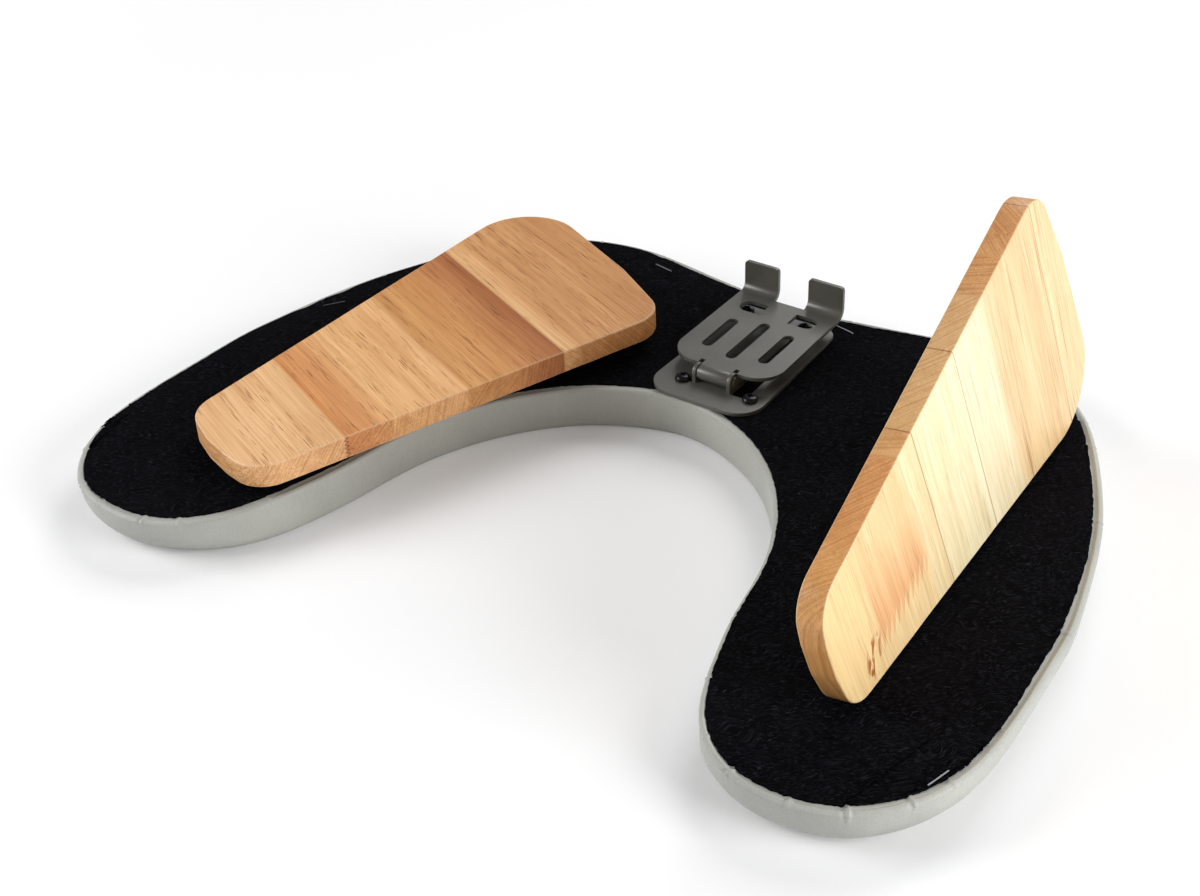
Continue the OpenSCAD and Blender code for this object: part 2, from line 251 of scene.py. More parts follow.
def smooth_loop(points, parts):
    """A closed curve through the points, each stretch cut into that many parts."""
    before, after, far = (np.roll(points, k, axis=0) for k in (1, -1, -2))
    rows = []
    for t in np.arange(parts) / parts:
        rows.append(0.5 * (2 * points + (after - before) * t
                           + (2 * before - 5 * points + 4 * after - far) * t ** 2
                           + (3 * points - before - 3 * after + far) * t ** 3))
    return np.stack(rows, axis=1).reshape(-1, points.shape[1])


felt_edge = face_outline("felt_backing")[:, :2]
start = min(range(len(felt_edge)), key=lambda i: abs(felt_edge[i, 0]) - 0.01 * felt_edge[i, 1])
felt_edge = np.roll(felt_edge, -start, axis=0)
if felt_edge[1, 0] < 0:
    felt_edge = np.roll(felt_edge[::-1], 1, axis=0)
COARSE = len(felt_edge)
PARTS = 16
edge = smooth_loop(felt_edge, PARTS)
N = len(edge)
along = np.roll(edge, -1, axis=0) - np.roll(edge, 1, axis=0)
outward = np.stack([-along[:, 1], along[:, 0]], axis=1)
outward /= np.linalg.norm(outward, axis=1)[:, None]
step = np.linalg.norm(np.roll(edge, -1, axis=0) - edge, axis=1)
arc = np.concatenate([[0], np.cumsum(step)[:-1]])
perimeter = float(step.sum())
print("outline:", COARSE, "points in the frame,", N, "on the curve,", round(perimeter, 3), "m round")

# %% [markdown]
# ## Mesh pieces
# Most new surfaces here are stacks of rings: a closed line, moved in or out and up or down, and
# joined to the next one by a band of quads. One function makes the object from points and
# faces, shades it smooth and lets it ride on its body.

# %% Helpers for mesh pieces
def piece(name, points, faces, material, body, place=Matrix.Identity(4)):
    """A new smooth mesh object at its place, riding on a body, with its material."""
    mesh = bpy.data.meshes.new(name)
    mesh.from_pydata([tuple(p) for p in points], [], faces)
    mesh.validate()
    mesh.shade_smooth()
    mesh.materials.append(material)
    made = bpy.data.objects.new(name, mesh)
    made.matrix_world = place
    bpy.context.scene.collection.objects.link(made)
    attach(made, body)
    print(f"{name}: {len(mesh.vertices)} points, {len(mesh.polygons)} faces, rides on {body}")
    return made


def bands(rings, size, first=0):
    """Quads between that many rings of equal size, in order."""
    faces = []
    for k in range(rings - 1):
        a, b = first + k * size, first + (k + 1) * size
        faces += [(a + i, a + (i + 1) % size, b + (i + 1) % size, b + i) for i in range(size)]
    return faces


def signed_area(line):
    """Area inside a closed flat line, below zero where it runs clockwise."""
    x, y = line.T
    return float((x * np.roll(y, -1) - np.roll(x, -1) * y).sum()) / 2


def ripple(points, wavelength, seed):
    """Smooth noise from -1 to 1 at each point, with swells of that wavelength in metres."""
    shift = Vector((seed * 7.3, seed * 3.1, seed * 5.7))
    return np.array([noise.noise(Vector(p) / wavelength + shift) for p in points])


# %% [markdown]
# ## Leatherette skin
# The skin is a sheet of coated fabric pulled over the foam, turned over the plywood's edge and
# stapled on its face. On the tips, where the edge curves outward, there is more skin than edge,
# so it gathers in small pleats that stand up at the rim; on the long sides it lies smooth. The
# profile is swept round the outline in code, and the pleats are moved points, because a cloth
# simulation can't pull a sheet as tight as a stapler does.

# %% Sizes of the skin
pad_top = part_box("felt_backing")[1].z
FELT = 0.8 * MM  # thickness of the felt
SKIN = 1.0 * MM  # thickness of the leatherette
REVEAL = 3.0 * MM  # how far the skin stands out past the felt
LAID_OFF = np.array([-1.6, 1.0]) * MM  # the felt lies this far to the left and back
TIGHT = 0.6 * MM  # and on those sides the skin is drawn in this much to meet it
ROUND = {"outer": 18 * MM, "inner": 3 * MM}  # radius of the lower edge
FLAP = {"outer": 18 * MM, "inner": 9 * MM}  # width of the flap that is turned in
TURN = 1.6 * MM  # radius of the upper edge
z_flap = pad_top - FELT
z_ply = z_flap - SKIN

# the outline counted in stations from the middle of the back, either way round: first comes
# the outer side, then the inner one, with a soft change on each tip
STATIONS = 32
OUTER_TO, INNER_FROM = 10.2, 11.8
round_trip = np.arange(N) / N * STATIONS
from_back = np.minimum(round_trip, STATIONS - round_trip)
outer_share = np.clip((INNER_FROM - from_back) / (INNER_FROM - OUTER_TO), 0, 1)
outer_share = outer_share ** 2 * (3 - 2 * outer_share)
lower_round = ROUND["inner"] + (ROUND["outer"] - ROUND["inner"]) * outer_share
flap_width = FLAP["inner"] + (FLAP["outer"] - FLAP["inner"]) * outer_share

# how sharply the edge curves outward, 0 where it is straight or hollow, 1 on the tips
SPAN = 8
edge_heading = np.unwrap(np.arctan2(outward[:, 1], outward[:, 0]))
bend = -(np.roll(edge_heading, -SPAN) - np.roll(edge_heading, SPAN))
bend = (bend + math.pi) % (2 * math.pi) - math.pi
bend /= sum(np.roll(step, k) for k in range(-SPAN, SPAN))
tip_share = np.clip(bend * 45 * MM, 0, 1)
tight = TIGHT * np.clip(outward @ LAID_OFF / np.linalg.norm(LAID_OFF), 0, 1)
print("rim gathers over", round(float((step * (tip_share > 0.2)).sum()), 2), "m of the outline")


# %% Pleats along the rim
def pleat_places(seed, closest, widest):
    """Places along the outline, in metres, where the skin gathers in a small pleat."""
    draw = random.Random(seed)
    places, at = [], 0.0
    while at < perimeter:
        share = tip_share[int(np.searchsorted(arc, at) % N)]
        if share > 0.1:
            places.append((at, (0.35 + 0.65 * draw.random()) * min(1, 0.3 + share)))
        at += (closest + (widest - closest) * draw.random()) * (1.6 - 0.6 * share)
    return places


def around(at):
    """Signed distance of every outline point from a place along it, the short way round."""
    away = arc - at
    return (away + perimeter / 2) % perimeter - perimeter / 2


def swell(away, width):
    """A smooth bump, 1 at its middle."""
    return np.exp(-(away / width) ** 2)


# each pleat is a knob with a notch beside it, and a crease that runs out slowly on one side
pleats = pleat_places(11, 14 * MM, 30 * MM)
knob, notch, crease = np.zeros(N), np.zeros(N), np.zeros(N)
for at, strength in pleats:
    away = around(at)
    knob += strength * swell(away, 0.9 * MM)
    notch += strength * swell(away - 1.9 * MM, 0.9 * MM)
    crease += strength * (swell(np.maximum(away, 0), 7 * MM) * (away > 0)
                          - swell(np.minimum(away, 0), 1.2 * MM) * (away <= 0))
print(len(pleats), "pleats")


# %% The skin's rings
def inset_ring(inset, z):
    """The outline moved inward from the skin's outer face, as points at height z."""
    moved = edge + (REVEAL - np.broadcast_to(inset, N))[:, None] * outward
    return np.column_stack([moved, np.broadcast_to(z, N)])


def rounded_inset(z, inside):
    """Inset of the rounded lower edge at height z, for a surface that far inside the skin."""
    q = lower_round - inside
    s = np.clip((lower_round - z) / q, 0, 1)
    return inside + q * (1 - np.sqrt(1 - s ** 2))


def pleated(of_knob, of_notch, of_crease):
    """What the pleats add at each outline point, from each one's share in mm."""
    return (of_knob * knob + of_notch * notch + of_crease * crease) * MM


wave = ripple(inset_ring(0, 0), 38 * MM, 1) * 0.25 * MM
fine = ripple(inset_ring(0, 0), 9 * MM, 2) * 0.16 * MM
gathered = ripple(inset_ring(0, 0), 5 * MM, 3) * 0.22 * MM * tip_share
rings = []
# the outer wall, up from the rounded lower edge
for z in np.array([0, 0.15, 0.5, 1, 1.8, 3, 4.5, 6.5, 8.5, 11, 14, 17]) * MM:
    tug = (wave + 0.5 * fine) * math.sin(math.pi * z / (22 * MM))
    rings.append(inset_ring(rounded_inset(z, 0) - tug + tight, z))
# the last millimetres under the rim, where the pleats begin
for z in (z_flap - np.array([4.0, 3.0, 2.2, 1.6]) * MM):
    near = 1 - (z_flap - z) / (6 * MM)
    push = 0.3 * (wave + fine) + near * (gathered + pleated(0.35, -0.45, 0.25))
    rings.append(inset_ring(tight - push, z))
# the rim itself, a quarter turn
fold = (0.35 + 0.45 * outer_share) * MM
for degrees in (20, 40, 60, 80, 90):
    a = math.radians(degrees)
    lift = fold + gathered + pleated(0.9, -0.9, 0.35)
    out = 1 - math.sin(a)
    rings.append(inset_ring(TURN * (1 - math.cos(a)) - out * (lift - tight),
                            z_flap - TURN * out + lift * math.sin(a)))
# the flap, which dives under the felt
for inset, high in ((2.1, 0.7), (2.7, 0.2), (3.3, -0.2), (4.0, -0.2), (4.8, -0.1)):
    lift = gathered * (1.2 - inset / 4) + pleated(1.3, -0.6, 0.2) * (1.5 - inset / 4)
    rings.append(inset_ring(inset * MM, z_flap + fold * high + np.maximum(lift, -0.2 * MM)))
rings.append(inset_ring(6 * MM, z_flap - 0.05 * MM))
rings.append(inset_ring(flap_width, z_flap - 0.05 * MM))
# back along the skin's inner face
rings.append(inset_ring(flap_width, z_ply))
rings.append(inset_ring(SKIN, z_ply))
for z in (17, 13, 9, 6, 4, 2.5, 1.4):
    rings.append(inset_ring(rounded_inset(z * MM, SKIN), z * MM))
rings.append(inset_ring(rounded_inset(SKIN, SKIN), SKIN))


def cap(first, upward):
    """Quads that close a ring across the arms, from its outer side to its inner side."""
    faces = []
    for b in (0, N // 2):
        for k in range(N // 4):
            i, j = b + k, b + N // 2 - k
            quad = [i, i + 1, (j - 1) % N, j % N] if k < N // 4 - 1 else [i, i + 1, j % N]
            faces.append([first + q for q in (quad if upward else quad[::-1])])
    return faces


skin_points = np.concatenate(rings)
skin_faces = bands(len(rings), N)
skin_faces += cap(0, False) + cap((len(rings) - 1) * N, True)
print("skin:", len(rings), "rings")

# %% [markdown]
# ## Leatherette
# PVC leatherette is a fabric with a soft plastic coat, embossed with the pebble grain of real
# leather. To the eye that is an even, slightly warm grey, a broad satin sheen, and a grain of
# cells about a millimetre across that only shows where light grazes it. Dust and handling
# leave it a touch darker in broad patches.

# %% Leatherette material
def millimetres(tree):
    """The object's own coordinates, counted in millimetres."""
    coords = add(tree, "TexCoord")
    return add(tree, "VectorMath", {0: coords.outputs["Object"], "Scale": 1 / MM}, operation="SCALE")


def leatherette():
    """Embossed PVC on fabric: cells 1.1 mm across, deeper between them, on an even grey."""
    material, tree, shader = new_material("pvc_leatherette")
    where = millimetres(tree)
    pebble = add(tree, "TexVoronoi", {"Vector": where, "Scale": 1 / 1.1, "Randomness": 0.9},
                 feature="DISTANCE_TO_EDGE")
    valley = add(tree, "MapRange", {0: pebble, 2: 0.22}, interpolation_type="SMOOTHSTEP")
    soft = add(tree, "TexNoise", {"Vector": where, "Scale": 1 / 2.5, "Detail": 3.0})
    patch = add(tree, "TexNoise", {"Vector": where, "Scale": 1 / 45, "Detail": 3.0})
    tone = add(tree, "ValToRGB", {0: patch}, stops=[(0.3, linear("#adaea8")), (0.7, linear("#babbb4"))])
    # painted shade: the valleys between the pebble cells are made up to 10% darker
    shade = add(tree, "MapRange", {0: valley, 3: 0.9, 4: 1.0})
    colour = add(tree, "VectorMath", {0: tone, "Scale": shade}, operation="SCALE")
    rough = add(tree, "MapRange", {0: soft, 3: 0.44, 4: 0.58})
    height = add(tree, "Math", {0: soft, 1: 0.5, 2: valley}, operation="MULTIPLY_ADD")
    bump = add(tree, "Bump", {"Height": height, "Distance": 0.05 * MM, "Strength": 0.7})
    feed(shader, {"Base Color": colour, "Roughness": rough, "Normal": bump, "IOR": 1.5})
    return material


skin = piece("leather_skin", skin_points, skin_faces, leatherette(), "pad")
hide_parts("leather_cover")

# %% [markdown]
# ## Felt dust cover
# Needle-punched felt has no weave: short fibres lie every way in a thin mat. It is cut with
# shears along the rim, so its edge wanders a little and sheds fibres. It lies a little hollow
# round each staple and meets the wire under it. It is one sheet, a grid laid across each arm
# from the outer edge to the inner one, thickened downward.

# %% Felt sheet
def loose_parts(node):
    """The separate solids of a CAD node, each as an array of its points."""
    mesh = frame["nodes"][node].data
    places = {}
    index = [places.setdefault(tuple(round(c, 5) for c in v.co), len(places)) for v in mesh.vertices]
    parent = list(range(len(places)))

    def root(i):
        while parent[i] != i:
            parent[i] = parent[parent[i]]
            i = parent[i]
        return i

    for a, b in mesh.edge_keys:
        parent[root(index[a])] = root(index[b])
    groups = {}
    for place, i in places.items():
        groups.setdefault(root(i), []).append(place)
    return [np.array(g) for g in groups.values()]


staple_places = [part[:, :2].mean(axis=0) for part in loose_parts("staples")]
ragged = 0.28 * ripple(inset_ring(0, 0), 1.6 * MM, 5) + 0.35 * ripple(inset_ring(0, 0), 5 * MM, 6)
wander = 0.9 * ripple(inset_ring(0, 0), 42 * MM, 7) * outer_share
felt_inset = REVEAL + (ragged + wander - 0.6 * notch + 1.3 * knob + 0.2) * MM
felt_rim = inset_ring(felt_inset, 0)[:, :2] + LAID_OFF
ACROSS = 30
share = (0.5 - 0.5 * np.cos(np.pi * np.arange(ACROSS + 1) / ACROSS))[:, None]
grid = []
for r in range(1 - N // 4, N // 4):
    grid.append(felt_rim[r % N] * (1 - share) + felt_rim[(N // 2 - r) % N] * share)
rows = len(grid)
felt_flat = np.concatenate([*grid, felt_rim[[-N // 4 % N, N // 4]]])
felt_faces = []
for r in range(rows - 1):
    for m in range(ACROSS):
        a = r * (ACROSS + 1) + m
        felt_faces.append((a, a + 1, a + ACROSS + 2, a + ACROSS + 1))
left_tip, right_tip = len(felt_flat) - 2, len(felt_flat) - 1
last = (rows - 1) * (ACROSS + 1)
felt_faces += [(m, m + 1, left_tip) for m in range(ACROSS)]
felt_faces += [(last + m + 1, last + m, right_tip) for m in range(ACROSS)]

# the felt waves a little, meets each staple's wire, and lies in a shallow ring round it
sink = 0.1 * MM * (1 + ripple(np.column_stack([felt_flat, 0 * felt_flat[:, 0]]), 22 * MM, 8))
for centre in staple_places:
    away = np.linalg.norm(felt_flat - centre, axis=1)
    sink *= 1 - np.exp(-(away / (12 * MM)) ** 4)
    sink += 0.35 * MM * swell(away - 14 * MM, 5 * MM)
felt_points = np.column_stack([felt_flat, pad_top - sink])
print("felt grid:", rows, "rows of", ACROSS + 1, "points")

# %% [markdown]
# ### Felt material
# Black felt is never quite black: single fibres catch the light as fine grey hairs that run in
# swirls. The hairs are noise stretched into long thin streaks, in two directions at a small
# angle that a slow noise bends. Real fibres are some 0.03 mm thick; they are drawn 0.3 mm
# thick here, so that they show at all.

# %% Felt material
def needled_felt():
    """Black fibre mat: next to no gloss, grey hairs where single fibres catch the light."""
    material, tree, shader = new_material("needled_felt")
    where = millimetres(tree)
    swirl = add(tree, "TexNoise", {"Vector": where, "Scale": 1 / 16, "Detail": 1.0})
    pull = add(tree, "VectorMath", {0: swirl.outputs["Color"], 1: (15, 15, 0), 2: where},
               operation="MULTIPLY_ADD")
    hairs = []
    for angle, seed in ((0.45, 0), (1.0, 40)):
        lie = add(tree, "Mapping", {"Vector": pull, "Location": (seed, 0, 0),
                                    "Rotation": (0, 0, angle), "Scale": (3.5, 0.3, 1)},
                  vector_type="TEXTURE")
        hairs.append(add(tree, "TexNoise", {"Vector": lie, "Scale": 1.0, "Detail": 2.0}))
    both = add(tree, "Math", {0: hairs[0], 1: hairs[1]}, operation="MAXIMUM")
    bright = add(tree, "MapRange", {0: both, 1: 0.57, 2: 0.75}, interpolation_type="SMOOTHSTEP")
    nap = add(tree, "TexNoise", {"Vector": where, "Scale": 1 / 30, "Detail": 2.0})
    base = add(tree, "ValToRGB", {0: nap}, stops=[(0.3, linear("#020203")), (0.7, linear("#060607"))])
    colour = add(tree, "Mix", {"Factor": bright, "A": base, "B": linear("#2b2b35")}, data_type="RGBA")
    bump = add(tree, "Bump", {"Height": both, "Distance": 0.25 * MM, "Strength": 0.8})
    feed(shader, {"Base Color": colour, "Roughness": 0.95, "Specular IOR Level": 0.04, "Normal": bump})
    return material


felt = piece("felt_cover", felt_points, felt_faces, needled_felt(), "pad")
thick = felt.modifiers.new("thickness", "SOLIDIFY")
thick.thickness = 0.75 * MM
thick.offset = -1
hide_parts("felt_backing")

# %% [markdown]
# ## Wooden wings
# The wings are sawn from edge-glued rubberwood, sanded and varnished. A sander never leaves a
# sharp arris, so the edge is a small round of about a millimetre that wanders a little, and it
# catches a thin line of light. A bevel tool would make it perfectly even, so the panel is
# built as rings instead, from the outline that the frame holds.

# %% The wings' own frames
def wing_frame(joint_name):
    """Matrix of a wing's frame: origin on the pin, y along it to the back, z out of the board
    when folded flat."""
    joint = next(j for j in frame["joints"] if j["name"] == joint_name)
    pin = Vector(joint["pos_m"])
    back = Vector(joint["axis"])
    if back.y < 0:
        back = -back
    opened = math.radians(90 - joint["range_deg"][1]) * (1 if pin.x < 0 else -1)
    flat = Vector((back.y, -back.x, 0))
    across = math.cos(opened) * flat + math.sin(opened) * Vector((0, 0, 1))
    up = math.cos(opened) * Vector((0, 0, 1)) - math.sin(opened) * flat
    place = Matrix.Identity(4)
    for i, axis in enumerate((across, back, up)):
        place.col[i][:3] = axis
    place.col[3][:3] = pin
    return place


def even_loop(points, spacing):
    """Points at even spacing round a closed line."""
    closed = np.vstack([points, points[:1]])
    length = np.concatenate([[0], np.cumsum(np.linalg.norm(np.diff(closed, axis=0), axis=1))])
    at = np.linspace(0, length[-1], int(length[-1] / spacing) + 1)[:-1]
    return np.column_stack([np.interp(at, length, closed[:, k]) for k in range(2)])


def eased_levels(low, high, radius):
    """Rings from the lower face to the upper one, as (inset, height, share of the painted highlight on
    the arris).
    """
    levels = []
    for side, face in ((-1, low), (1, high)):
        part = [(radius + 0.5 * MM, face + 0 * radius, 0)]
        for degrees in (90, 68, 45, 22, 0):
            a = math.radians(degrees)
            # painted highlight: strongest halfway round the arris, where a rounded edge catches the light
            arris_highlight = 1 - abs(degrees - 45) / 45
            part.append((radius * (1 - math.cos(a)), face + side * radius * (math.sin(a) - 1), arris_highlight))
        levels += part if side < 0 else part[::-1]
    return levels


def wing_board(name, node, joint, material, seed):
    """A wing panel with a hand-eased arris; the 'arris' attribute, up to 1 on the rounded edge, is the
    share of painted highlight there.
    """
    place = wing_frame(joint)
    local = place.inverted()
    outline = even_loop(face_outline(node, local)[:, :2], 1.6 * MM)
    clockwise = signed_area(outline) < 0
    turned = np.roll(outline, -1, axis=0) - np.roll(outline, 1, axis=0)
    normal = np.column_stack([turned[:, 1], -turned[:, 0]]) * (-1 if clockwise else 1)
    normal /= np.linalg.norm(normal, axis=1)[:, None]
    heights = [(local @ v.co).z for v in frame["nodes"][node].data.vertices]
    size = len(outline)
    radius = (0.9 + 0.25 * ripple(np.column_stack([outline, np.zeros(size)]), 25 * MM, seed)) * MM
    levels = eased_levels(min(heights), max(heights), radius)
    points = [np.column_stack([outline - inset[:, None] * normal, z]) for inset, z, arris_highlight in levels]
    # painted highlight: each ring's share of the light line that the wood material paints on the rounded
    # arris
    painted_highlight = np.repeat([arris_highlight for inset, z, arris_highlight in levels], size)
    faces = bands(len(levels), size)
    faces += [tuple(range(size))[::-1], tuple(range((len(levels) - 1) * size, len(levels) * size))]
    if clockwise:
        faces = [f[::-1] for f in faces]
    made = piece(name, np.concatenate(points), faces, material, node, place)
    arris = made.data.attributes.new("arris", "FLOAT", "POINT")
    arris.data.foreach_set("value", painted_highlight.astype(np.float32))
    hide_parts(node)


# %% [markdown]
# ### Rubberwood
# Rubberwood is a pale, straight-grained hardwood. What the eye reads is, from large to small:
# the change of tone from stave to stave, soft streaks along the grain, and short dark pores
# like pencil dashes. The grain is solid, so the same pattern has to run over the face and show
# as dots and arcs on the end grain. That is why everything is worked out in three dimensions,
# in the wing's own millimetres: u across the staves, v along the grain, z through the board.
# Pores are some 0.2 mm wide and are drawn about twice that, so that they show.

# %% Rubberwood: layers of tone
U_FROM, U_TO = -140.0, 230.0  # how far the staves reach across the grain, in mm


def tinted(tree, amount, below, factors):
    """The colour below, multiplied by factors where amount is 1."""
    above = add(tree, "VectorMath", {0: below, 1: factors}, operation="MULTIPLY")
    return add(tree, "Mix", {"Factor": amount, "A": below, "B": above}, data_type="RGBA")


def stave_tones(tree, u, staves):
    """The tone across the staves; its alpha is one random number for each stave."""
    reach = add(tree, "MapRange", {0: u, 1: U_FROM, 2: U_TO})
    draw = random.Random(4)
    places = []
    for i, (at, near, far) in enumerate(staves):
        own = draw.random()
        last = staves[i + 1][0] - 0.4 if i + 1 < len(staves) else U_TO
        places += [((at - U_FROM) / (U_TO - U_FROM), linear(near, own)),
                   ((last - U_FROM) / (U_TO - U_FROM), linear(far, own))]
    return add(tree, "ValToRGB", {0: reach}, stops=places)


def layer(tree, colour, texture, none, full, strength, factors):
    """Tint a colour where a texture goes from none to full, by a strength."""
    amount = add(tree, "MapRange", {0: texture, 1: none, 2: full})
    amount = add(tree, "Math", {0: amount, 1: strength}, operation="MULTIPLY")
    return tinted(tree, amount, colour, factors)


def drawn_out(tree, grain, across, length, kind, **more):
    """A texture stretched along the grain, its cells across by length in mm."""
    scaled = add(tree, "VectorMath", {0: grain, 1: (1 / across, 1 / length, 1 / across)},
                 operation="MULTIPLY")
    return add(tree, kind, {"Vector": scaled, "Scale": 1.0, **more})


def growth_rings(tree, z, stave, own_u):
    """Rings that lie slanted in the board's thickness, another way in each stave."""
    slant = add(tree, "Math", {0: stave, 1: 3.0, 2: -1.5}, operation="MULTIPLY_ADD")
    ring = add(tree, "Math", {0: z, 1: slant, 2: own_u}, operation="MULTIPLY_ADD")
    return add(tree, "TexNoise", {"W": ring, "Scale": 1 / 1.7, "Detail": 2.0}, noise_dimensions="1D")


def pores(tree, grain):
    """Dashes along the grain, more of them in some places than in others."""
    cell = drawn_out(tree, grain, 0.75, 22, "TexVoronoi", Randomness=1.0)
    crowd = drawn_out(tree, grain, 6, 50, "TexNoise", Detail=1.0)
    limit = add(tree, "MapRange", {0: crowd, 1: 0.3, 2: 0.68, 3: 0.08, 4: 0.32})
    depth = add(tree, "Math", {0: limit, 1: cell}, operation="SUBTRACT")
    return add(tree, "MapRange", {0: depth, 1: 0.0, 2: 0.05})


print("staves are placed from", U_FROM, "to", U_TO, "mm")


# %% Rubberwood material
def rubberwood(name, inward, lean, staves, drawn, sawn_tone_and_shade, features):
    """Solid rubberwood of edge-glued staves.

    staves is a list of (first u in mm, colour there, colour at the far side); lean is how far u
    shifts per mm inward; drawn holds the gain on the tones and the strength of the streaks, the
    pores, and the long lines on the front and the far staves; the factors for the sawn edges
    multiply the colour there, a little for the wood's own darker side grain and, on the right
    wing, strongly as painted shade against its painted-light faces; features adds what only
    this wing has.
    """
    material, tree, shader = new_material(name)
    axes = add(tree, "SeparateXYZ", {0: millimetres(tree)})
    s, z = axes.outputs["Y"], axes.outputs["Z"]
    t = add(tree, "Math", {0: axes.outputs["X"], 1: float(inward)}, operation="MULTIPLY")
    u = add(tree, "Math", {0: t, 1: lean, 2: s}, operation="MULTIPLY_ADD")
    v = add(tree, "Math", {0: s, 1: -lean, 2: t}, operation="MULTIPLY_ADD")
    tone = stave_tones(tree, u, staves)
    stave = tone.outputs["Alpha"]

    # grain coordinates: every stave starts somewhere else and wavers a little
    own_v = add(tree, "Math", {0: stave, 1: 700.0, 2: v}, operation="MULTIPLY_ADD")
    path = add(tree, "CombineXYZ", {0: u, 1: own_v, 2: z})
    bent = add(tree, "TexNoise", {"Vector": path, "Scale": 1 / 60, "Detail": 1.0})
    own_u = add(tree, "Math", {0: bent, 1: 3.5, 2: u}, operation="MULTIPLY_ADD")
    grain = add(tree, "CombineXYZ", {0: own_u, 1: own_v, 2: z})

    # which faces are sawn edges: those that don't look up or down
    look = add(tree, "SeparateXYZ", {0: add(tree, "TexCoord").outputs["Normal"]})
    flat = add(tree, "Math", {0: look.outputs["Z"]}, operation="ABSOLUTE")
    sawn = add(tree, "MapRange", {0: flat, 1: 0.75, 2: 0.45})

    # from the broad layers to the fine ones
    streak = drawn_out(tree, grain, 1.1, 55, "TexNoise", Detail=4.0)
    figure = drawn_out(tree, grain, 6, 110, "TexNoise", Detail=2.0)
    line = drawn_out(tree, grain, 0.55, 75, "TexNoise", Detail=1.0)
    ring = growth_rings(tree, z, stave, own_u)
    pore = pores(tree, grain)
    ring_depth = add(tree, "MapRange", {0: sawn, 3: 0.2 * drawn["streaks"], 4: 0.65})
    line_depth = add(tree, "MapRange", {0: u, 1: 55.0, 2: 80.0, 3: drawn["lines"], 4: drawn["far_lines"]})
    colour = add(tree, "VectorMath", {0: tone, "Scale": drawn["gain"]}, operation="SCALE")
    colour = layer(tree, colour, streak, 0.68, 0.34, drawn["streaks"], (0.82, 0.72, 0.60))
    colour = layer(tree, colour, figure, 0.66, 0.34, drawn["streaks"], (0.82, 0.74, 0.65))
    colour = layer(tree, colour, ring, 0.56, 0.38, ring_depth, (0.74, 0.63, 0.52))
    # the wood's own tone and painted shade: the sawn edges are multiplied by the given factors, mildly on
    # the left wing and strongly on the right wing, whose faces carry painted light
    colour = tinted(tree, sawn, colour, sawn_tone_and_shade)
    colour = features(tree, {"s": s, "t": t, "u": u, "z": z, "sawn": sawn}, colour)
    colour = layer(tree, colour, line, 0.62, 0.68, line_depth, (0.62, 0.47, 0.36))
    colour = layer(tree, colour, pore, 0.0, 1.0, drawn["pores"], (0.42, 0.27, 0.17))
    # painted highlight: the rounded arris is mixed 30% toward pale #f2d9ae, standing in for the thin line
    # of light it catches
    arris = add(tree, "Attribute", attribute_name="arris")
    thin = add(tree, "Math", {0: arris.outputs["Fac"], 1: 0.3}, operation="MULTIPLY")
    colour = add(tree, "Mix", {"Factor": thin, "A": colour, "B": linear("#f2d9ae")}, data_type="RGBA")

    # varnish lies thin: it dips a little into streaks and pores
    rough = add(tree, "MapRange", {0: streak, 3: 0.36, 4: 0.5})
    hollow = add(tree, "Math", {0: streak, 1: 0.3, 2: pore}, operation="MULTIPLY_ADD")
    bump = add(tree, "Bump", {"Height": hollow, "Distance": 0.06 * MM, "Strength": 0.8}, invert=True)
    feed(shader, {"Base Color": colour, "Roughness": rough, "Normal": bump})
    return material


# %% [markdown]
# ### What only one wing has
# Where two staves meet end to end they are finger-jointed: on an edge the joint shows as a
# zigzag of glue, on a face it can come out as a comb of long spikes where one tone runs into
# the other. The left wing has such a zigzag on its free edge, the right wing has the comb and a
# few scorch marks from a blunt cutter beside it.

# %% Finger joints and scorch marks
def zigzag(tree, value, half_period):
    """0 to 1 and back along a coordinate in mm."""
    turns = add(tree, "Math", {0: value, 1: half_period}, operation="PINGPONG")
    return add(tree, "Math", {0: turns, 1: half_period}, operation="DIVIDE")


def within(tree, value, low, high, soft):
    """1 between two limits in mm, fading over soft at each."""
    rise = add(tree, "MapRange", {0: value, 1: low - soft, 2: low + soft})
    fall = add(tree, "MapRange", {0: value, 1: high - soft, 2: high + soft, 3: 1.0, 4: 0.0})
    return add(tree, "Math", {0: rise, 1: fall}, operation="MULTIPLY")


def left_features(tree, at, colour):
    """A glued zigzag on the sawn edge, with teeth 2 mm long and 1.1 mm wide."""
    teeth = add(tree, "Math", {0: zigzag(tree, at["z"], 1.1), 1: 2.0, 2: at["u"]},
                operation="MULTIPLY_ADD")
    glue = within(tree, teeth, -47.3, -46.4, 0.3)
    glue = add(tree, "Math", {0: glue, 1: at["sawn"]}, operation="MULTIPLY")
    return tinted(tree, glue, colour, (0.34, 0.26, 0.22))


